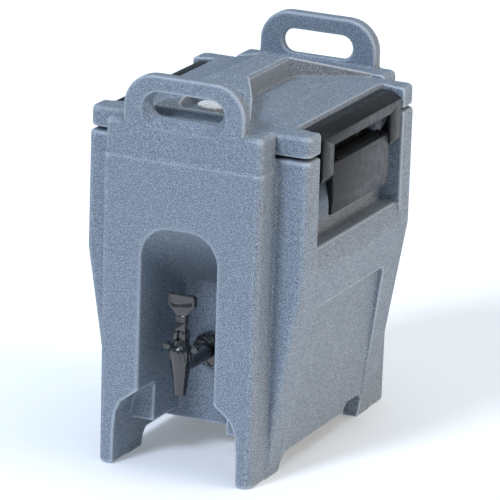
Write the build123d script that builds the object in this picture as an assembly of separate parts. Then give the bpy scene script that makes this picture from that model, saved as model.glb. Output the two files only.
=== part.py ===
from build123d import *
import math
import os

os.makedirs("parts", exist_ok=True)

# An insulated beverage carrier, in millimetres. +Z is up, the tap faces -Y, and the origin is on
# the floor under the middle of the four feet. "Right" is the +X side.

# Body
side_x = 137.0             # half the width over the sides
end_y = 187.0              # half the length over the two end walls
main_y = 147.0             # half the length of the main box, between the end walls
taper_top = 240.0          # the sides lean in below this height
foot_x = 97.0              # half the width at the floor
rim_z = 379.0              # top of the body's rim
shoulder_z = 408.7         # top of the end walls
body_corner = 8.0
end_wall_corner = 10.0
end_wall_bottom_x = 96.5
end_wall_top_x = 99.4
skin = 4.5                 # wall thickness of the moulded skin
under_z = 34.0             # underside of the body between its feet
arch_under_z = 46.0        # underside beside the tap recess
ledge_z = 367.0            # the end walls step back by ledge_step above this height
ledge_step = 2.4
skirt_z = 20.0             # lower edge of the side skirts
foot_inner_x = 77.5

# Handles
total_height = 464.0
handle_x = 75.0
handle_thickness = 20.0
handle_corner = 38.0
hole_x = 45.0
hole_low = 415.0
hole_high = 443.5

# Tap recess in the front end wall
recess_half_front = 47.5
recess_top_front = 293.0
recess_back_y = -87.0
recess_top_back = 204.0
recess_half_top = 38.0
recess_half_bottom = 46.0

# Tank
tank_x = 92.0
tank_front_y = -68.0
tank_y = 125.0
tank_floor = 108.0
tank_corner = 16.0

# Latch recess and latch
latch_y = 114.0            # half the length of the recess in the body and the lid
latch_wall_x = 108.0
latch_floor = 270.0
lever_y = 76.0
leg_inner_y = 79.0
leg_outer_y = 107.0
hinge_x, hinge_z = 124.0, 357.0
bail_x, bail_z = 120.0, 349.0
pin_r = 2.0
running_gap = 0.05
ear_y = 62.0
ear_half = 4.0

# Lid
lid_y = 145.0
lid_low = 383.0
lid_edge = 407.0
crown_z = 417.0
spine_z = 443.0
spine_x = 18.0
spine_front_y = -58.0
spine_back_y = 47.0
plug_x = 88.0
plug_y = 121.0
plug_low = 345.0
vent_y = -110.0
well_z = 411.0
vent_hole_r = 4.0

# Tap
tap_y = -173.0
shank_z = 127.0
shank_r = 9.5
spout_low = 95.0
barrel_low = 137.0
barrel_top = 148.0
bonnet_top = 160.0
tap_pin_z = 165.0
paddle_top = 213.0
stem_r = 3.0
chamber_r = 9.5
chamber_low = 119.0


def box(x0, x1, y0, y1, z0, z1):
    """A block given by its faces."""
    return Pos((x0 + x1) / 2, (y0 + y1) / 2, (z0 + z1) / 2) * Box(x1 - x0, y1 - y0, z1 - z0)


def soft_block(x0, x1, y0, y1, z0, z1, radius):
    """A block with rounded upright edges."""
    outline = RectangleRounded(x1 - x0, y1 - y0, radius)
    return Pos((x0 + x1) / 2, (y0 + y1) / 2, z0) * extrude(outline, amount=z1 - z0)


def across(points, y0, y1, radii=None):
    """An outline of (x, z) points, run from y0 to y1. radii rounds chosen corners."""
    face = rounded_outline(points, radii)
    return extrude(Plane.XZ.offset(-y1) * face, amount=y1 - y0)


def along(points, x0, x1, radii=None):
    """An outline of (y, z) points, run from x0 to x1. radii rounds chosen corners."""
    face = rounded_outline(points, radii)
    return extrude(Plane.YZ.offset(x0) * face, amount=x1 - x0)


def rounded_outline(points, radii=None):
    """A flat outline through the points, with a radius at the corners that radii names by index."""
    face = make_face(Polyline(*points, close=True))
    for index, radius in (radii or {}).items():
        corner = Vector(points[index][0], points[index][1], 0)
        nearest = min(face.vertices(), key=lambda v: (Vector(v.X, v.Y, v.Z) - corner).length)
        face = fillet(nearest, radius)
    return face


def rod(radius, start, end):
    """A round rod between two points."""
    a, b = Vector(*start), Vector(*end)
    return extrude(Plane(origin=a, z_dir=b - a) * Circle(radius), amount=(b - a).length)


def soften(shape, edges, radius):
    """Round the edges, together where the kernel can, otherwise one by one."""
    try:
        return fillet(edges, radius)
    except Exception:
        centres = [edge.center() for edge in edges]
    for centre in centres:
        edge = min(shape.edges(), key=lambda e: (e.center() - centre).length)
        if (edge.center() - centre).length > 0.5:
            continue
        try:
            shape = fillet(edge, radius)
        except Exception:
            pass
    return shape


def edges_at(shape, test):
    """The shape's edges whose centre passes a test."""
    return [edge for edge in shape.edges() if test(edge.center())]


def mirrored(shape):
    """The same piece for the left side."""
    solids = [mirror(solid, about=Plane.YZ) for solid in shape.solids()]
    return solids[0] if len(solids) == 1 else Compound(children=solids)


# ---- body -------------------------------------------------------------------------------------

def end_wall(sign):
    """One end wall with its carrying handle, for the front (-1) or the back (+1)."""
    depth = 2 * (end_y - main_y)
    low = RectangleRounded(2 * end_wall_bottom_x, depth, end_wall_corner)
    high = RectangleRounded(2 * end_wall_top_x, depth, end_wall_corner)
    wall = Pos(0, sign * main_y, 0) * loft([low, Pos(0, 0, shoulder_z) * high])
    inside = sorted((sign * main_y, 0))
    wall -= box(-120, 120, inside[0], inside[1], rim_z, shoulder_z + 1)
    wall -= ledge(sign)
    top = edges_at(wall, lambda c: c.Z > shoulder_z - 0.1 and abs(c.Y) > main_y + 0.1)
    wall = soften(wall, top, 6.5)
    face_y = sorted((sign * (end_y - ledge_step), sign * (end_y - handle_thickness)))
    outline = [(-handle_x, 390), (handle_x, 390), (handle_x, total_height), (-handle_x, total_height)]
    handle = across(outline, face_y[0], face_y[1], {2: handle_corner, 3: handle_corner})
    slot = SlotOverall(2 * hole_x, hole_high - hole_low)
    hole_z = (hole_low + hole_high) / 2
    handle -= extrude(Plane.XZ.offset(-face_y[1] - 1) * Pos(0, hole_z) * slot, amount=handle_thickness)
    rims = edges_at(handle, lambda c: c.Z > 400 and min(abs(c.Y - face_y[0]), abs(c.Y - face_y[1])) < 0.1)
    handle = soften(handle, rims, 3.0)
    return wall + handle - hole_flare(sign)


def ledge(sign):
    """The thin slice off an end wall's three outer sides that leaves a ledge under the handle."""
    inner_x, inner_y = end_wall_top_x - ledge_step, end_y - ledge_step
    narrow = RectangleRounded(2 * inner_x, 2 * inner_y, end_wall_corner - ledge_step)
    wide = RectangleRounded(2 * (end_wall_top_x + 2), 2 * (end_y + 2), end_wall_corner + 2)
    kept = loft([Pos(0, 0, ledge_z - 2) * wide, Pos(0, 0, ledge_z + 1.5) * narrow])
    kept += Pos(0, 0, ledge_z + 1.5) * extrude(narrow, amount=60)
    y = sorted((sign * (main_y - 45), sign * (end_y + 3)))
    return box(-120, 120, y[0], y[1], ledge_z - 2, ledge_z + 55) - kept


def hole_flare(sign):
    """The scooped lower lip of a hand hole, on its outer face."""
    outer = RectangleRounded(106, 44, 21)
    inner = RectangleRounded(2 * hole_x, hole_high - hole_low, 14)
    outer_plane = Plane(origin=(0, sign * (end_y - ledge_step + 0.5), 423.5), x_dir=(1, 0, 0), z_dir=(0, -1, 0))
    inner_plane = Plane(origin=(0, sign * (end_y - ledge_step - 9.0), 429.25), x_dir=(1, 0, 0), z_dir=(0, -1, 0))
    return loft([outer_plane * outer, inner_plane * inner])


def main_box():
    """The main box, with its sides leaning in towards the floor."""
    wide = RectangleRounded(2 * side_x, 2 * main_y, body_corner)
    narrow = RectangleRounded(2 * foot_x, 2 * main_y, body_corner)
    lower = loft([narrow, Pos(0, 0, taper_top) * wide])
    upper = Pos(0, 0, taper_top) * extrude(wide, amount=rim_z - taper_top)
    rim = edges_at(upper, lambda c: c.Z > rim_z - 0.1)
    return lower + soften(upper, rim, 4.0)


def tap_recess(grow=0.0):
    """The arched hollow that the tap stands in, open at the front and underneath."""
    front_y, back_y = -end_y - 3, recess_back_y + grow
    half, top = recess_half_front + grow, recess_top_front + grow
    front = [(-half, -5), (half, -5), (half, top), (-half, top)]
    low, high, back_top = recess_half_bottom + grow, recess_half_top + grow, recess_top_back + grow
    back = [(-low, -5), (low, -5), (high, back_top), (-high, back_top)]
    front_face = Plane.XZ.offset(-front_y) * rounded_outline(front, {2: 36, 3: 36})
    back_face = Plane.XZ.offset(-back_y) * rounded_outline(back, {2: 12, 3: 12})
    return loft([front_face, back_face])


def underside_cuts():
    """The hollows under the body that leave four feet and two side skirts."""
    cuts = box(-foot_inner_x, foot_inner_x, -160, 160, -1, under_z)
    cuts += box(-foot_inner_x, foot_inner_x, -160, recess_back_y, -1, arch_under_z)
    skirt = [(-111, -1), (-111, 1), (-108, 13), (-101, skirt_z), (58, skirt_z), (67, 31),
             (101, 31), (107, 24), (107, -1)]
    cuts += along(skirt, -150, 150)
    front = [(-78, -1), (-77, 42), (-75, 64), (-69, 77), (-47, 94),
             (47, 94), (69, 77), (75, 64), (77, 42), (78, -1)]
    cuts += across(front, -200, -main_y)
    back = [(-78, -1), (-77, 30), (-68, 44), (68, 44), (77, 30), (78, -1)]
    return cuts + across(back, main_y, 200)


def latch_recess():
    """The hollow in the right side that the latch folds into."""
    outline = [(latch_wall_x, rim_z + 20), (latch_wall_x, latch_floor), (132, latch_floor),
               (side_x + 0.1, 246), (170, 246), (170, rim_z + 20)]
    return across(outline, -latch_y, latch_y, {1: 4})


def side_panel():
    """The shallow recessed panel low in the right side."""
    shape = along([(-109, 16), (109, 16), (93, 196), (-93, 196)], 80, 160, {2: 10, 3: 10})
    return shape & across([(98.3, 10), (121.5, 200), (170, 200), (170, 10)], -120, 120)


def tank(grow=0.0):
    """The tank's hollow, with a floor that falls towards the tap."""
    top = rim_z + 20
    outline = [(-tank_y, top), (-tank_y, 266), (tank_front_y, 212), (tank_front_y, tank_floor),
               (tank_y, tank_floor + 6), (tank_y, top)]
    face = rounded_outline(outline, {1: 20, 2: 20, 3: 3, 4: 20})
    if grow:
        face = offset(face, grow)
    shape = extrude(Plane.YZ.offset(-tank_x - grow) * face, amount=2 * (tank_x + grow))
    upright = edges_at(shape, lambda c: abs(c.X) > tank_x + grow - 0.1 and c.Z < top - 1)
    return soften(shape, upright, tank_corner + grow)


def foam_block():
    """The space between the outer skin and the tank."""
    narrow = Rectangle(2 * (foot_x + 6.0 - skin), 2 * (main_y - skin))
    wide = Rectangle(2 * (side_x - skin - 6), 2 * (main_y - skin))
    foam = Pos(0, 0, under_z + skin) * loft([narrow, Pos(0, 0, 262 - under_z - skin) * wide])
    foam += box(-103, 103, -main_y + skin, main_y - skin, 255, rim_z - skin)
    foam -= box(-foot_inner_x - skin, foot_inner_x + skin, -160, recess_back_y + skin, 0, arch_under_z + skin)
    for cut in (tank(skin), tap_recess(skin), rod(17, (0, -120, shank_z), (0, 0, shank_z))):
        foam -= cut
    for side in (side_panel_keep(), mirrored(side_panel_keep())):
        foam -= side
    return foam


def side_panel_keep():
    """The panel's hollow made deeper by the skin, so that the foam stays behind it."""
    shape = along([(-114, 34), (114, 34), (98, 201), (-98, 201)], 80, 160)
    return shape & across([(98.3 - skin, 10), (122.1 - skin, 205), (170, 205), (170, 10)], -120, 120)


foam = foam_block()
fill_hole = rod(12, (0, 40, under_z - 1), (0, 40, under_z + skin + 4))

body = main_box() + end_wall(-1) + end_wall(1)
body -= underside_cuts()
body -= tap_recess()
for tool in (latch_recess(), side_panel()):
    body -= tool
    body -= mirrored(tool)

arch = edges_at(body, lambda c: abs(c.Y + end_y) < 0.3 and abs(c.X) < 49 and 90 < c.Z < 300)
body = soften(body, arch, 4.0)
feet = edges_at(body, lambda c: c.Z < 0.1 and abs(c.Y) > main_y + 1)
body = soften(body, feet, 3.5)

body -= tank()
body -= foam
body -= fill_hole
body -= rod(shank_r, (0, -120, shank_z), (0, 0, shank_z))

# The body is one moulding. It is written as six plain pieces that meet face to face, so that
# each has a simple collision shape and the tank stays open.
side_cut = 91.5
tank_cut = -47.0
low, high = -5, total_height + 5
front_wall = body & box(-150, 150, -200, -main_y, low, high)
rear_wall = body & box(-150, 150, main_y, 200, low, high)
flank_right = body & box(side_cut, 150, -main_y, main_y, low, high)
flank_left = body & box(-150, -side_cut, -main_y, main_y, low, high)
tank_front = body & box(-side_cut, side_cut, -main_y, tank_cut, low, high)
tank_back = body & box(-side_cut, side_cut, tank_cut, main_y, low, high)

fill_plug = rod(12, (0, 40, under_z), (0, 40, under_z + skin)) + rod(16, (0, 40, under_z - 2), (0, 40, under_z))

# ---- lid --------------------------------------------------------------------------------------


def lid_outer():
    """The lid's outside: rim, crowned top, central spine and its hipped ends."""
    rim = soft_block(-side_x, side_x, -lid_y, lid_y, lid_low, lid_edge, 10)
    rim = soften(rim, edges_at(rim, lambda c: c.Z > lid_edge - 0.1), 5)
    rim = soften(rim, edges_at(rim, lambda c: c.Z < lid_low + 0.1), 2)
    crown = Pos(0, 0, lid_edge) * loft([Rectangle(252, 268), Pos(0, 0, crown_z - lid_edge) * Rectangle(52, 130)])
    shape = rim + crown + lid_spine()
    well = soft_block(-32, 32, -136, -89, well_z, 460, 10)
    return shape - well


def lid_spine():
    """The raised spine, with a front end that spreads round the vent and a hipped back end."""
    side_view = [(-141, 400), (-141, 418), (spine_front_y, spine_z), (spine_back_y, spine_z),
                 (143, 411), (143, 400)]
    plan = [(-60, -141), (-60, -136), (-42, -96), (-spine_x - 2, spine_front_y), (-spine_x - 2, spine_back_y),
            (-84, 143), (84, 143), (spine_x + 2, spine_back_y), (spine_x + 2, spine_front_y), (42, -96),
            (60, -136), (60, -141)]
    upright = Pos(0, 0, 395) * extrude(make_face(Polyline(*plan, close=True)), amount=60)
    spine = along(side_view, -100, 100) & upright
    ridge = edges_at(spine, lambda c: c.Z > spine_z - 0.1 and abs(c.X) > 5)
    try:
        return chamfer(ridge, 3.5)
    except Exception:
        return spine


def lid_pocket():
    """The notch in the lid's right edge that the latch closes over."""
    return across([(101, 420), (119.6, 380), (160, 380), (160, 420)], -latch_y, latch_y)


lid = lid_outer() + soft_block(-plug_x, plug_x, -plug_y, plug_y, plug_low, lid_low + 1, 18)
lid -= lid_pocket()
lid -= mirrored(lid_pocket())
lid_foam = soft_block(-plug_x + skin, plug_x - skin, -plug_y + skin, plug_y - skin, plug_low + skin, 390, 14)
lid_foam += box(-97, 97, -lid_y + 7, lid_y - 7, lid_low + skin, lid_edge - skin)
lid_foam += box(-spine_x + 3, spine_x - 3, spine_front_y + 6, spine_back_y - 6, 400, spine_z - skin - 1)
lid_foam -= rod(9, (0, vent_y, 300), (0, vent_y, 460))
lid -= lid_foam
lid -= rod(vent_hole_r, (0, vent_y, 300), (0, vent_y, 460))
lid_fill_hole = rod(10, (0, 50, plug_low - 1), (0, 50, plug_low + skin))
lid -= lid_fill_hole
lid_fill_plug = rod(10, (0, 50, plug_low), (0, 50, plug_low + skin)) + rod(13, (0, 50, plug_low - 2), (0, 50, plug_low))

lid_gasket = soft_block(-102, 102, -138, 138, rim_z, lid_low, 16) - soft_block(-94, 94, -127, 127, 370, 390, 18)

# ---- vent cap ---------------------------------------------------------------------------------

cap_low = well_z + 2.5
cap_top = cap_low + 6.5
vent_cap = rod(17.5, (0, vent_y, cap_low + 3), (0, vent_y, cap_top))
vent_cap = soften(vent_cap, edges_at(vent_cap, lambda c: c.Z > cap_top - 0.1), 1.5)
for step in range(15):
    angle = math.radians(24 * step)
    groove = (18 * math.cos(angle), vent_y + 18 * math.sin(angle))
    vent_cap -= rod(1.4, (groove[0], groove[1], cap_low - 1), (groove[0], groove[1], cap_top + 1))
vent_cap += rod(17, (0, vent_y, cap_low), (0, vent_y, cap_low + 2))
vent_cap += rod(15.5, (0, vent_y, cap_low + 2), (0, vent_y, cap_low + 3))
vent_cap += rod(vent_hole_r - running_gap, (0, vent_y, cap_low - 30), (0, vent_y, cap_low))
vent_seal = rod(9, (0, vent_y, well_z), (0, vent_y, cap_low))
vent_seal -= rod(vent_hole_r - running_gap, (0, vent_y, well_z - 1), (0, vent_y, cap_low + 1))

# ---- latch on the right side ------------------------------------------------------------------


def latch_bracket():
    """The hinge plate screwed to the recess wall, with two ears for the hinge pin."""
    plate = box(latch_wall_x, latch_wall_x + 3, -lever_y + 2, lever_y - 2, 334, 374)
    for y in (-ear_y, ear_y):
        ear = [(latch_wall_x + 1, 345), (latch_wall_x + 1, 370), (hinge_x, 364.5), (hinge_x, 349.5)]
        plate += across(ear, y - ear_half, y + ear_half)
        plate += rod(7.5, (hinge_x, y - ear_half, hinge_z), (hinge_x, y + ear_half, hinge_z))
    plate -= rod(pin_r, (hinge_x, -90, hinge_z), (hinge_x, 90, hinge_z))
    for y, z in screw_places():
        plate -= rod(2.1, (latch_wall_x - 1, y, z), (latch_wall_x + 4, y, z))
    return plate


def screw_places():
    """Where the hinge plate's four screws go, as (y, z)."""
    return [(y, z) for y in (-38, 38) for z in (341, 368)]


def bracket_screws():
    """Four pan-head screws in one node."""
    screws = []
    for y, z in screw_places():
        head = rod(3.8, (latch_wall_x + 3, y, z), (latch_wall_x + 5, y, z))
        head -= box(latch_wall_x + 4.2, latch_wall_x + 6, y - 3, y + 3, z - 0.4, z + 0.4)
        head -= box(latch_wall_x + 4.2, latch_wall_x + 6, y - 0.4, y + 0.4, z - 3, z + 3)
        screws.append(head + rod(2.1, (latch_wall_x - 9, y, z), (latch_wall_x + 3, y, z)))
    return Compound(children=screws)


def latch_lever():
    """The lever that is pulled out and up, hinged near its top edge."""
    outline = [(117, 361.5), (120.5, 365), (129.5, 364.5), (134.5, 361.5), (135.3, 354), (side_x, 322),
               (134.5, 302), (131.5, 302), (131, 318), (126, 340), (117, 350)]
    lever = across(outline, -lever_y, lever_y, {2: 2, 3: 2.5})
    hollow = [(126.5, 338), (132.6, 338), (134, 322), (132.6, 308), (131.8, 308), (128, 330)]
    for y in (-56, -18, 20):
        lever -= across(hollow, y, y + 36)
    for y in (-ear_y, ear_y):
        lever -= across([(100, 340), (hinge_x, 344), (hinge_x + 8.6, 349), (hinge_x + 8.6, 364),
                         (hinge_x + 2, 372), (100, 372)], y - ear_half - 0.6, y + ear_half + 0.6)
    lever -= rod(pin_r + running_gap, (hinge_x, -90, hinge_z), (hinge_x, 90, hinge_z))
    for y in (-1, 1):
        lever -= rod(pin_r, (bail_x, y * 70, bail_z), (bail_x, y * 90, bail_z))
    return lever


def bail_pins():
    """The two stub pins that the bail turns on, fixed in the lever's ends."""
    stubs = [rod(pin_r, (bail_x, y * 70, bail_z), (bail_x, y * 89, bail_z)) for y in (-1, 1)]
    return Compound(children=stubs)


def latch_bail():
    """The open frame that hooks over the lid's edge."""
    section = [(110.6, 400.6), (110.6, 405), (124, 405), (side_x, 397), (side_x, 351),
               (side_x - 3.5, 345), (side_x - 6, 348), (side_x - 6, 393), (122, 399.6)]
    frame = across(section, -leg_outer_y, leg_outer_y)
    frame -= box(125, 150, -lever_y - 2.5, lever_y + 2.5, 330, 385)
    frame = soften(frame, edges_at(frame, lambda c: c.Z > 404.9 and 120 < c.X < 126), 2)
    for sign in (-1, 1):
        y0, y1 = sorted((sign * leg_inner_y, sign * (leg_inner_y + 7)))
        web = [(side_x - 4, 346), (side_x - 4, 378), (131.5, 378), (bail_x, 356), (bail_x - 2, 349),
               (bail_x, 343)]
        frame += across(web, y0, y1)
        frame += rod(6, (bail_x, y0, bail_z), (bail_x, y1, bail_z))
    return frame - rod(pin_r + running_gap, (bail_x, -100, bail_z), (bail_x, 100, bail_z))


hinge_pin = rod(pin_r, (hinge_x, -lever_y, hinge_z), (hinge_x, lever_y, hinge_z))

right_side = {
    "latch_bracket": latch_bracket(),
    "latch_screws": bracket_screws(),
    "latch_hinge_pin": hinge_pin,
    "latch_lever": latch_lever(),
    "bail_pins": bail_pins(),
    "latch_bail": latch_bail(),
}

# ---- tap --------------------------------------------------------------------------------------


def turned(points):
    """A turned shape about the tap's upright axis, from (radius, z) points."""
    outline = make_face(Polyline(*points, close=True))
    shape = revolve(Plane.XZ * outline, axis=Axis.Z, revolution_arc=360)
    return Pos(0, tap_y, 0) * shape


def tap_body():
    """Spout, barrel and threaded shank in one moulding."""
    outer = turned([(0, spout_low), (7.5, spout_low), (8.6, spout_low + 14), (12.2, barrel_low - 6), (13.6, barrel_low - 0.1),
                    (11.4, barrel_low), (11.4, barrel_top), (0, barrel_top)])
    outer += rod(shank_r, (0, tap_y, shank_z), (0, -50, shank_z))
    outer += rod(20, (0, -102, shank_z), (0, -90, shank_z))
    for step in range(12):
        angle = math.radians(30 * step)
        x, z = 20.5 * math.cos(angle), shank_z + 20.5 * math.sin(angle)
        outer -= rod(2.2, (x, -104, z), (x, -88, z))
    outer -= rod(5.5, (0, tap_y, shank_z), (0, -40, shank_z))
    outer -= turned([(0, spout_low - 1), (5.5, spout_low - 1), (5.5, chamber_low), (chamber_r, chamber_low),
                     (chamber_r, barrel_top + 1), (0, barrel_top + 1)])
    return outer


def bonnet():
    """The winged cap that screws over the barrel and guides the stem."""
    cap = turned([(11.4, barrel_low), (14, barrel_low), (14, 149), (12.5, 152), (9.5, 154), (8.5, bonnet_top),
                  (stem_r + running_gap, bonnet_top), (stem_r + running_gap, barrel_top + 2),
                  (11.4, barrel_top + 2)])
    for step in range(16):
        angle = math.radians(22.5 * step)
        x, y = 14.5 * math.cos(angle), tap_y + 14.5 * math.sin(angle)
        cap -= rod(1.1, (x, y, barrel_low - 1), (x, y, barrel_low + 9))
    for sign in (-1, 1):
        x0, x1 = sorted((sign * 11.6, sign * 19.5))
        cap += box(x0, x1, tap_y - 3.5, tap_y + 3.5, 147.5, 151.5)
        cap += rod(4, (sign * 17.5, tap_y - 3.5, 150.5), (sign * 17.5, tap_y + 3.5, 150.5))
    return cap


def tap_lever():
    """The upright paddle, forked over the head of the stem."""
    lever = box(-7.2, 7.2, tap_y - 6.3, tap_y + 6.3, bonnet_top + 0.3, 170)
    lever += box(-6, 6, tap_y - 4.5, tap_y + 4.5, 170, 181)
    face = [(-6, 180), (6, 180), (6, 188), (16.5, 200), (16.5, paddle_top), (-16.5, paddle_top),
            (-16.5, 200), (-6, 188)]
    paddle = across(face, tap_y - 4, tap_y + 4, {3: 3, 4: 3, 5: 3, 6: 3})
    lever += soften(paddle, edges_at(paddle, lambda c: c.Z > 190 and abs(abs(c.Y - tap_y) - 4) < 0.1), 1.2)
    lever -= box(-14, 14, tap_y - 5, tap_y - 3.2, 202, 210.5)
    for z in (182.5, 185, 187.5):
        lever += box(-6.7, 6.7, tap_y - 4.6, tap_y + 4.6, z - 0.6, z + 0.6)
    lever -= box(-3.1, 3.1, tap_y - 7, tap_y + 7, bonnet_top - 1, 171)
    return lever - rod(1.55, (-9, tap_y, tap_pin_z), (9, tap_y, tap_pin_z))


def stem():
    """The rod that lifts the seal, with a collar for the spring and an eye for the lever's pin."""
    shape = rod(stem_r, (0, tap_y, chamber_low + 4), (0, tap_y, bonnet_top + 0.5))
    shape += rod(6.5, (0, tap_y, 139), (0, tap_y, 141))
    shape += box(-2.8, 2.8, tap_y - 3, tap_y + 3, bonnet_top + 0.3, 169)
    return shape - rod(1.5, (-9, tap_y, tap_pin_z), (9, tap_y, tap_pin_z))


def spring():
    """The coil spring between the stem's collar and the bonnet."""
    path = Helix(pitch=2.1, height=7.6, radius=5.2)
    wire = sweep(Plane(origin=path @ 0, z_dir=path % 0) * Circle(0.45), path=path)
    return Pos(0, tap_y, 141.6) * wire


def shank_nut():
    """The six-sided nut inside the tank."""
    plane = Plane(origin=(0, -57, shank_z), x_dir=(1, 0, 0), z_dir=(0, -1, 0))
    nut = extrude(plane * RegularPolygon(16.5, 6), amount=9)
    return nut - rod(shank_r, (0, -70, shank_z), (0, -40, shank_z))


def ring(outer, y0, y1):
    """A flat washer round the shank."""
    return rod(outer, (0, y0, shank_z), (0, y1, shank_z)) - rod(shank_r, (0, y0 - 1, shank_z), (0, y1 + 1, shank_z))


seat_cup = turned([(0, chamber_low), (8.3, chamber_low), (8.3, chamber_low + 4), (5, chamber_low + 8),
                   (stem_r, chamber_low + 8), (stem_r, chamber_low + 4), (0, chamber_low + 4)])

nodes = {
    "body_right_side": flank_right,
    "body_left_side": flank_left,
    "body_tank_front": tank_front,
    "body_tank_back": tank_back,
    "body_front_wall": front_wall,
    "body_rear_wall": rear_wall,
    "body_foam": foam,
    "body_fill_plug": fill_plug,
    "lid_shell": lid,
    "lid_foam": lid_foam,
    "lid_fill_plug": lid_fill_plug,
    "lid_gasket": lid_gasket,
    "vent_cap": vent_cap,
    "vent_seal": vent_seal,
    "tap_body": tap_body(),
    "tap_bonnet": bonnet(),
    "tap_lever": tap_lever(),
    "tap_lever_pin": rod(1.5, (-7.2, tap_y, tap_pin_z), (7.2, tap_y, tap_pin_z)),
    "tap_stem": stem(),
    "tap_seat_cup": seat_cup,
    "tap_spring": spring(),
    "shank_outer_washer": ring(17, -90, -87),
    "shank_inner_washer": ring(15, tank_front_y, -66),
    "shank_nut": shank_nut(),
}
for name, shape in right_side.items():
    nodes["right_" + name] = shape
    nodes["left_" + name] = mirrored(shape)

for name, shape in nodes.items():
    export_step(shape, f"parts/{name}.step")
    print(name, round(shape.volume / 1000, 1), "cm3")
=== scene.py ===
import bpy
import bmesh
import math
from mathutils import Matrix, Vector


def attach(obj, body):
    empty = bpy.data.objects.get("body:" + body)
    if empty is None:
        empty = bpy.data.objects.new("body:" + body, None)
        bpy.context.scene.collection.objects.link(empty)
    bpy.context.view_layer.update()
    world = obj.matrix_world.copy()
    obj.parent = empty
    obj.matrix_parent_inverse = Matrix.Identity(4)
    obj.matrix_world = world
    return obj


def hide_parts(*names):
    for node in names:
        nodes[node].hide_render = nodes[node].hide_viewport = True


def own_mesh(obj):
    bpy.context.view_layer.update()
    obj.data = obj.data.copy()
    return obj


# An insulated drink carrier: rotomoulded double-walled body and lid, two nylon draw latches, a
# lever tap in an arched recess and a screw cap over the vent. All lengths are in metres.

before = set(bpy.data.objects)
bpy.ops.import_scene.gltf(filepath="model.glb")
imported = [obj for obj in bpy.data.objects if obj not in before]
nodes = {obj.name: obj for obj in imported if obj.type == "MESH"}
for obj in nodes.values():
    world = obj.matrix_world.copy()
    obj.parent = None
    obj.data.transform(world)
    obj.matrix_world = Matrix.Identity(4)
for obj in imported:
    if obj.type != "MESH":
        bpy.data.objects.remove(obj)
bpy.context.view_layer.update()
mm = 0.001
print("frame loaded:", len(nodes), "nodes")


# ---- helpers for materials

def srgbToLinear(hexColour):
    # sRGB hex to the linear RGBA that the shader sockets take
    channels = [int(hexColour[i:i + 2], 16) / 255 for i in (0, 2, 4)]
    linear = [c / 12.92 if c <= 0.04045 else ((c + 0.055) / 1.055) ** 2.4 for c in channels]
    return (*linear, 1.0)


def addNode(tree, kind, settings=None, links=None):
    # one node; settings set its attributes or its input sockets, links feed its sockets
    node = tree.nodes.new(kind)
    for key, value in (settings or {}).items():
        if isinstance(key, str) and hasattr(node, key):
            setattr(node, key, value)
        else:
            node.inputs[key].default_value = value
    for key, source in (links or {}).items():
        tree.links.new(source, node.inputs[key])
    return node


def startMaterial(name):
    material = bpy.data.materials.new(name)
    material.use_nodes = True
    tree = material.node_tree
    return material, tree, tree.nodes["Principled BSDF"]


def objectPoint(tree):
    return addNode(tree, "ShaderNodeTexCoord").outputs["Object"]


def noise(tree, point, sizeMm, detail=2.0, roughness=0.5):
    # a cloud pattern whose blobs are about sizeMm across
    node = addNode(tree, "ShaderNodeTexNoise",
                   {"Scale": 1 / (sizeMm * mm), "Detail": detail, "Roughness": roughness},
                   {"Vector": point})
    return node.outputs["Fac"]


def ramp(tree, value, low, high, toLow=0.0, toHigh=1.0):
    node = addNode(tree, "ShaderNodeMapRange",
                   {"From Min": low, "From Max": high, "To Min": toLow, "To Max": toHigh,
                    "clamp": True},
                   {"Value": value})
    return node.outputs["Result"]


def mixColour(tree, factor, colourA, colourB):
    node = addNode(tree, "ShaderNodeMix", {"data_type": "RGBA"})
    for socket, value in ((6, colourA), (7, colourB)):
        if isinstance(value, str):
            node.inputs[socket].default_value = srgbToLinear(value)
        else:
            tree.links.new(value, node.inputs[socket])
    if isinstance(factor, (int, float)):
        node.inputs[0].default_value = factor
    else:
        tree.links.new(factor, node.inputs[0])
    return node.outputs[2]


def calc(tree, operation, a, b):
    node = addNode(tree, "ShaderNodeMath", {"operation": operation})
    for index, value in enumerate((a, b)):
        if isinstance(value, (int, float)):
            node.inputs[index].default_value = value
        else:
            tree.links.new(value, node.inputs[index])
    return node.outputs[0]


def bump(tree, shader, heights):
    # heights: (value, depth in mm, strength), laid one on the other
    normal = None
    for value, depthMm, strength in heights:
        links = {"Height": value}
        if normal is not None:
            links["Normal"] = normal
        normal = addNode(tree, "ShaderNodeBump",
                         {"Strength": strength, "Distance": depthMm * mm}, links)
        normal = normal.outputs["Normal"]
    tree.links.new(normal, shader.inputs["Normal"])


def edgeWearAndHighlightMask(tree, low, high):
    # lighter along outer edges: partly wear where handling rubs the surface, partly a painted
    # highlight standing for light caught along each edge
    return ramp(tree, addNode(tree, "ShaderNodeNewGeometry").outputs["Pointiness"], low, high)


# ---- materials

polyethyleneLook = {
    "base": "76828f", "dark": "3c4756", "light": "b2bcc7", "wearAndHighlight": "bcc6cf",
    "speckMm": 1.12, "paleSpeckMm": 1.2, "grainMm": 1.3, "waveMm": 45, "roughness": 0.5,
    "pitSpacingMm": 34, "pitMm": 0.8,
}


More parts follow.
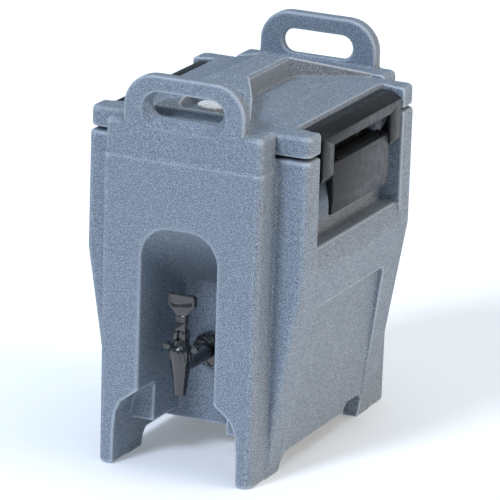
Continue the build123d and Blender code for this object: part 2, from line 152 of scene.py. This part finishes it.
def rotomouldedPolyethylene():
    # blue-grey granite polyethylene: two powders melt in the mould, so fine dark and pale specks
    # lie in the grey, and the cooled wall has a fine orange peel and is never quite flat.
    # The specks are drawn about twice as coarse as the real powder, so that they still show.
    look = polyethyleneLook
    material, tree, shader = startMaterial("rotomoulded polyethylene")
    point = objectPoint(tree)
    cloud = ramp(tree, noise(tree, point, look["waveMm"], 3), 0.3, 0.7, 0, 0.35)
    colour = mixColour(tree, cloud, look["base"], "7f8a98")
    darkNoise = noise(tree, point, look["speckMm"], 1.5, 0.6)
    darkSpecks = ramp(tree, darkNoise, 0.50, 0.60, 0, 0.85)
    colour = mixColour(tree, darkSpecks, colour, look["dark"])
    # far enough away that the pale specks don't lie where the dark ones do
    shifted = addNode(tree, "ShaderNodeVectorMath",
                      {"operation": "ADD", 1: (0.37, 0.11, 0.73)}, {0: point})
    paleNoise = noise(tree, shifted.outputs[0], look["paleSpeckMm"], 1.5, 0.6)
    paleSpecks = ramp(tree, paleNoise, 0.54, 0.64, 0, 0.8)
    colour = mixColour(tree, paleSpecks, colour, look["light"])
    # outer edges turned lighter: partly wear, partly a painted highlight along every convex edge
    wearAndHighlight = calc(tree, "MULTIPLY", edgeWearAndHighlightMask(tree, 0.508, 0.545), 0.75)
    colour = mixColour(tree, wearAndHighlight, colour, look["wearAndHighlight"])
    # here and there a grain of powder has burnt black
    pits = addNode(tree, "ShaderNodeTexVoronoi", {"Scale": 1 / (look["pitSpacingMm"] * mm)},
                   {"Vector": point})
    pitRadius = look["pitMm"] / look["pitSpacingMm"]
    pitMask = ramp(tree, pits.outputs["Distance"], pitRadius, pitRadius * 0.6)
    colour = mixColour(tree, calc(tree, "MULTIPLY", pitMask, 0.85), colour, "20242a")
    tree.links.new(colour, shader.inputs["Base Color"])
    rough = ramp(tree, noise(tree, point, 14, 3), 0.35, 0.65,
                 look["roughness"] - 0.06, look["roughness"] + 0.08)
    tree.links.new(rough, shader.inputs["Roughness"])
    shader.inputs["IOR"].default_value = 1.5
    bump(tree, shader, [(noise(tree, point, look["waveMm"], 1), 1.2, 0.35),
                        (noise(tree, point, look["grainMm"], 2), 0.12, 0.35)])
    return material


nylonLook = {"base": "101012", "scuffed": "4a484b", "grainMm": 0.9, "roughness": 0.36}


def mouldedNylon():
    # black glass-filled nylon: a satin moulding with a fine spark-eroded grain and a few grey
    # scuffs where hands and the lid's rim rub it
    look = nylonLook
    material, tree, shader = startMaterial("moulded nylon")
    point = objectPoint(tree)
    cloud = ramp(tree, noise(tree, point, 18, 3), 0.35, 0.65, 0, 0.4)
    colour = mixColour(tree, cloud, look["base"], "19191c")
    scuffs = ramp(tree, noise(tree, point, 3.5, 5, 0.7), 0.62, 0.72, 0, 0.5)
    colour = mixColour(tree, scuffs, colour, look["scuffed"])
    tree.links.new(colour, shader.inputs["Base Color"])
    rough = ramp(tree, noise(tree, point, 9, 3), 0.3, 0.7,
                 look["roughness"] - 0.05, look["roughness"] + 0.1)
    tree.links.new(rough, shader.inputs["Roughness"])
    shader.inputs["IOR"].default_value = 1.53
    shader.inputs["Specular IOR Level"].default_value = 0.3
    bump(tree, shader, [(noise(tree, point, look["grainMm"], 2), 0.05, 0.25)])
    return material


def glossyPolypropylene(name, colour, second, roughness, coat=0.25):
    # polished-mould polypropylene: a hard gloss with the slightest flow ripple, and over it the
    # skin that the polished steel leaves, which gives the tap its sharp glints
    material, tree, shader = startMaterial(name)
    point = objectPoint(tree)
    tint = mixColour(tree, ramp(tree, noise(tree, point, 8, 2), 0.4, 0.6), colour, second)
    tree.links.new(tint, shader.inputs["Base Color"])
    rough = ramp(tree, noise(tree, point, 5, 3), 0.35, 0.7, roughness, roughness + 0.1)
    tree.links.new(rough, shader.inputs["Roughness"])
    shader.inputs["IOR"].default_value = 1.49
    shader.inputs["Coat Weight"].default_value = coat
    shader.inputs["Coat Roughness"].default_value = 0.06
    shader.inputs["Coat IOR"].default_value = 1.6
    bump(tree, shader, [(noise(tree, point, 6, 1), 0.08, 0.25),
                        (noise(tree, point, 0.8, 2), 0.015, 0.2)])
    return material


def softRubber(name, colour, second):
    # moulded elastomer: matt, with a faint bloom and a dusty grain
    material, tree, shader = startMaterial(name)
    point = objectPoint(tree)
    tint = mixColour(tree, ramp(tree, noise(tree, point, 5, 4), 0.4, 0.65), colour, second)
    tree.links.new(tint, shader.inputs["Base Color"])
    rough = ramp(tree, noise(tree, point, 3, 3), 0.3, 0.7, 0.62, 0.8)
    tree.links.new(rough, shader.inputs["Roughness"])
    bump(tree, shader, [(noise(tree, point, 0.7, 3), 0.04, 0.4)])
    return material


def drawnStainlessSteel():
    # cold-drawn wire and pressed screws: bright metal with fine lines along the draw
    material, tree, shader = startMaterial("drawn stainless steel")
    point = objectPoint(tree)
    stretched = addNode(tree, "ShaderNodeVectorMath",
                        {"operation": "MULTIPLY", 1: (1.0, 0.06, 1.0)}, {0: point})
    lines = noise(tree, stretched.outputs[0], 0.35, 3)
    tint = mixColour(tree, ramp(tree, lines, 0.35, 0.65), "a7a9ab", "c9cacb")
    tree.links.new(tint, shader.inputs["Base Color"])
    shader.inputs["Metallic"].default_value = 1.0
    tree.links.new(ramp(tree, lines, 0.3, 0.7, 0.2, 0.36), shader.inputs["Roughness"])
    bump(tree, shader, [(lines, 0.01, 0.3)])
    return material


def polyurethaneFoam():
    # rigid insulating foam: straw-coloured, with cells about half a millimetre wide, drawn coarser
    material, tree, shader = startMaterial("polyurethane foam")
    point = objectPoint(tree)
    cells = addNode(tree, "ShaderNodeTexVoronoi", {"Scale": 1 / (1.2 * mm)}, {"Vector": point})
    tint = mixColour(tree, ramp(tree, cells.outputs["Distance"], 0.1, 0.6), "b99f62", "dcc88e")
    tree.links.new(tint, shader.inputs["Base Color"])
    shader.inputs["Roughness"].default_value = 0.9
    bump(tree, shader, [(cells.outputs["Distance"], 0.3, 0.6)])
    return material


polyethylene = rotomouldedPolyethylene()
nylon = mouldedNylon()
blackPolypropylene = glossyPolypropylene("black polypropylene", "0f1113", "1a1c1f", 0.2,
                                         coat=0.9)
whitePolypropylene = glossyPolypropylene("white polypropylene", "efefed", "e2e2df", 0.2)
greyPlug = glossyPolypropylene("grey polyethylene plug", "59636f", "66707c", 0.4)
rubber = softRubber("nitrile rubber", "161617", "232324")
silicone = softRubber("translucent silicone", "b9b7ae", "cfcdc5")
steel = drawnStainlessSteel()
foam = polyurethaneFoam()
print("materials made")


# ---- helpers for shapes

def copyOf(nodeName, pieceName):
    piece = nodes[nodeName].copy()
    piece.data = nodes[nodeName].data.copy()
    for key in list(piece.keys()):
        if key.startswith("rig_"):
            del piece[key]
    piece.parent = None
    piece.matrix_world = Matrix.Identity(4)
    piece.name = pieceName
    piece.data.name = pieceName
    bpy.context.scene.collection.objects.link(piece)
    return piece


def applyModifiers(piece):
    graph = bpy.context.evaluated_depsgraph_get()
    mesh = bpy.data.meshes.new_from_object(piece.evaluated_get(graph))
    piece.modifiers.clear()
    old = piece.data
    piece.data = mesh
    mesh.name = piece.name
    bpy.data.meshes.remove(old)


def islands(mesh):
    # the loose parts of a bmesh, as lists of vertices
    left = set(mesh.verts)
    found = []
    while left:
        start = left.pop()
        group, queue = [start], [start]
        while queue:
            for edge in queue.pop().link_edges:
                for vertex in edge.verts:
                    if vertex in left:
                        left.remove(vertex)
                        group.append(vertex)
                        queue.append(vertex)
        found.append(group)
    return found


def keepOuterSkin(piece):
    # drops anything loose inside the moulding
    mesh = bmesh.new()
    mesh.from_mesh(piece.data)
    groups = islands(mesh)
    spans = [max(v.co.z for v in g) - min(v.co.z for v in g) for g in groups]
    outer = groups[spans.index(max(spans))]
    kept = set(outer)
    bmesh.ops.delete(mesh, geom=[v for v in mesh.verts if v not in kept], context="VERTS")
    mesh.to_mesh(piece.data)
    mesh.free()


def finishPiece(piece, body, material, slot, *replaced):
    piece.data.materials.clear()
    piece.data.materials.append(material)
    for face in piece.data.polygons:
        face.material_index = 0
    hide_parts(*replaced)
    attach(piece, body)
    return piece


def joinedCopy(nodeNames, pieceName):
    mesh = bmesh.new()
    for nodeName in nodeNames:
        mesh.from_mesh(nodes[nodeName].data)
    piece = copyOf(nodeNames[0], pieceName)
    mesh.to_mesh(piece.data)
    mesh.free()
    return piece


def softMoulding(nodeNames, pieceName, voxelMm, rounds):
    # a moulding's own soft edges: remesh finely, then relax
    piece = joinedCopy(nodeNames, pieceName)
    remesh = piece.modifiers.new("skin", "REMESH")
    remesh.mode = "VOXEL"
    remesh.voxel_size = voxelMm * mm
    relax = piece.modifiers.new("relax", "SMOOTH")
    relax.factor = 0.5
    relax.iterations = rounds
    applyModifiers(piece)
    keepOuterSkin(piece)
    for face in piece.data.polygons:
        face.use_smooth = True
    return piece


bevelLook = {"weldMm": 0.004, "flatDegrees": 1, "angleDegrees": 28, "segments": 3}


def bevelledPiece(nodeName, pieceName, widthMm):
    # a moulded part with small rounded edges
    piece = copyOf(nodeName, pieceName)
    mesh = bmesh.new()
    mesh.from_mesh(piece.data)
    bmesh.ops.remove_doubles(mesh, verts=mesh.verts, dist=bevelLook["weldMm"] * mm)
    flat = math.radians(bevelLook["flatDegrees"])
    bmesh.ops.dissolve_limit(mesh, angle_limit=flat, verts=mesh.verts, edges=mesh.edges)
    mesh.to_mesh(piece.data)
    mesh.free()
    bevel = piece.modifiers.new("edge", "BEVEL")
    bevel.width = widthMm * mm
    bevel.segments = bevelLook["segments"]
    bevel.limit_method = "ANGLE"
    bevel.angle_limit = math.radians(bevelLook["angleDegrees"])
    bevel.harden_normals = True
    bevel.miter_outer = "MITER_ARC"
    applyModifiers(piece)
    for face in piece.data.polygons:
        face.use_smooth = True
    return piece


# ---- body and lid

bodyLook = {"voxelMm": 1.6, "rounds": 4, "contactMm": 0.6}
bodyNodes = ("body_right_side", "body_left_side", "body_tank_front", "body_tank_back",
             "body_front_wall", "body_rear_wall")


def carrierBody():
    # one moulding: the foam's block closes the hollow between the skins, which never shows
    piece = softMoulding(bodyNodes + ("body_foam",), "carrierBody",
                         bodyLook["voxelMm"], bodyLook["rounds"])
    for vertex in piece.data.vertices:
        if vertex.co.z < bodyLook["contactMm"] * mm:
            vertex.co.z = 0.0     # the feet stand flat
    return finishPiece(piece, "body", polyethylene, "moulded_shell", *bodyNodes)


lidLook = {"voxelMm": 1.4, "rounds": 4}


def carrierLid():
    piece = softMoulding(("lid_shell", "lid_foam"), "carrierLid",
                         lidLook["voxelMm"], lidLook["rounds"])
    return finishPiece(piece, "lid", polyethylene, "moulded_shell", "lid_shell")


carrierBody()
carrierLid()
print("body and lid made")


# ---- latches

latchLook = {"bevelMm": 0.7}


def latch(side):
    for nodeName, pieceName, body in (("latch_bail", "LatchHook", "hook"),
                                      ("latch_lever", "LatchLever", "lever"),
                                      ("latch_bracket", "LatchBracket", None)):
        node = side + "_" + nodeName
        piece = bevelledPiece(node, side + pieceName, latchLook["bevelMm"])
        finishPiece(piece, side + "_" + body if body else "body", nylon, "latch_nylon", node)


latch("right")
latch("left")
print("latches made")


# ---- tap and vent cap

tapLook = {"bevelMm": 0.45, "capBevelMm": 0.6, "stemTravelMm": 4.3}


def tapPiece(nodeName, pieceName, body):
    piece = bevelledPiece(nodeName, pieceName, tapLook["bevelMm"])
    return finishPiece(piece, body, blackPolypropylene, "tap_plastic", nodeName)


def tapSpring():
    # hangs from the bonnet; it gets its own copy of the mesh, and its shape stays as modelled
    piece = finishPiece(copyOf("tap_spring", "tapSpring"), "body", steel, "tap_spring_steel",
                        "tap_spring")
    points = [piece.matrix_world @ vertex.co for vertex in piece.data.vertices]
    low, high = (pick(points, key=lambda point: point.z) for pick in (min, max))
    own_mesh(piece)


tapPiece("tap_body", "tapBody", "body")
tapPiece("tap_bonnet", "tapBonnet", "body")
tapPiece("tap_lever", "tapLever", "tap_handle")
finishPiece(bevelledPiece("vent_cap", "ventCap", tapLook["capBevelMm"]), "vent_knob",
            whitePolypropylene, "cap_plastic", "vent_cap")
tapSpring()
print("tap and vent cap made")


# ---- CAD nodes that keep their shape

finishes = {
    "body_foam": foam, "lid_foam": foam,
    "body_fill_plug": greyPlug, "lid_fill_plug": greyPlug,
    "lid_gasket": rubber, "vent_seal": rubber,
    "tap_stem": blackPolypropylene, "shank_nut": blackPolypropylene,
    "tap_lever_pin": steel, "tap_seat_cup": silicone,
    "shank_outer_washer": rubber, "shank_inner_washer": rubber,
}
for side in ("right", "left"):
    for name in ("latch_screws", "latch_hinge_pin", "bail_pins"):
        finishes[side + "_" + name] = steel
for name, material in finishes.items():
    mesh = nodes[name].data
    mesh.materials.clear()
    mesh.materials.append(material)
print("finishes set")


# ---- floor, light and camera

studio = {
    "floor": "f6f8fa", "floorHalf": 6.0, "floorRoughness": 0.7, "floorGlow": 0.18,
    "worldColour": "d8ebf2", "worldStrength": 0.37,
    "lights": [
        # name, direction that the light comes from, softness in degrees, strength, colour
        ("frontLight", (-0.30, -1.0, 0.85), 14, 2.0, "dfe9ff"),
        ("sideLight", (1.0, 0.2, 0.38), 30, 1.38, "ffe2c0"),
        ("topLight", (0.1, 0.05, 1.0), 50, 1.15, "e9f1ff"),
    ],
}


def makeFloor():
    mesh = bpy.data.meshes.new("studioFloor")
    half = studio["floorHalf"]
    corners = [(-half, -half, 0), (half, -half, 0), (half, half, 0), (-half, half, 0)]
    mesh.from_pydata(corners, [], [(0, 1, 2, 3)])
    floor = bpy.data.objects.new("studioFloor", mesh)
    bpy.context.scene.collection.objects.link(floor)
    material, tree, shader = startMaterial("studio paper")
    shader.inputs["Base Color"].default_value = srgbToLinear(studio["floor"])
    shader.inputs["Roughness"].default_value = studio["floorRoughness"]
    shader.inputs["Emission Color"].default_value = srgbToLinear(studio["floor"])
    shader.inputs["Emission Strength"].default_value = studio["floorGlow"]
    mesh.materials.append(material)


def makeLights():
    world = bpy.data.worlds.new("studio")
    world.use_nodes = True
    background = world.node_tree.nodes["Background"]
    background.inputs["Color"].default_value = srgbToLinear(studio["worldColour"])
    background.inputs["Strength"].default_value = studio["worldStrength"]
    bpy.context.scene.world = world
    for name, origin, softness, strength, colour in studio["lights"]:
        light = bpy.data.lights.new(name, "SUN")
        light.angle = math.radians(softness)
        light.energy = strength
        light.color = srgbToLinear(colour)[:3]
        lamp = bpy.data.objects.new(name, light)
        lamp.location = origin
        lamp.rotation_euler = Vector(origin).to_track_quat("Z", "Y").to_euler()
        bpy.context.scene.collection.objects.link(lamp)


# a long lens from far off; angles are in degrees, the lens in millimetres
view = {"azimuth": 25.2, "elevation": 17.0, "roll": 1.88,
        "distance": 4.8464, "aim": (0, 0, 0.2196), "lens": 301.5}


def makeCamera():
    azimuth, elevation = math.radians(view["azimuth"]), math.radians(view["elevation"])
    back = Vector((math.sin(azimuth) * math.cos(elevation),
                   -math.cos(azimuth) * math.cos(elevation), math.sin(elevation)))
    camera = bpy.data.objects.new("camera", bpy.data.cameras.new("camera"))
    camera.data.lens = view["lens"]
    turned = back.to_track_quat("Z", "Y").to_matrix().to_4x4()
    place = Matrix.Translation(Vector(view["aim"]) + back * view["distance"])
    camera.matrix_world = place @ turned @ Matrix.Rotation(math.radians(view["roll"]), 4, "Z")
    bpy.context.scene.collection.objects.link(camera)
    bpy.context.scene.camera = camera
    bpy.context.scene.view_settings.view_transform = "Standard"


makeFloor()
makeLights()
makeCamera()
print("studio made")
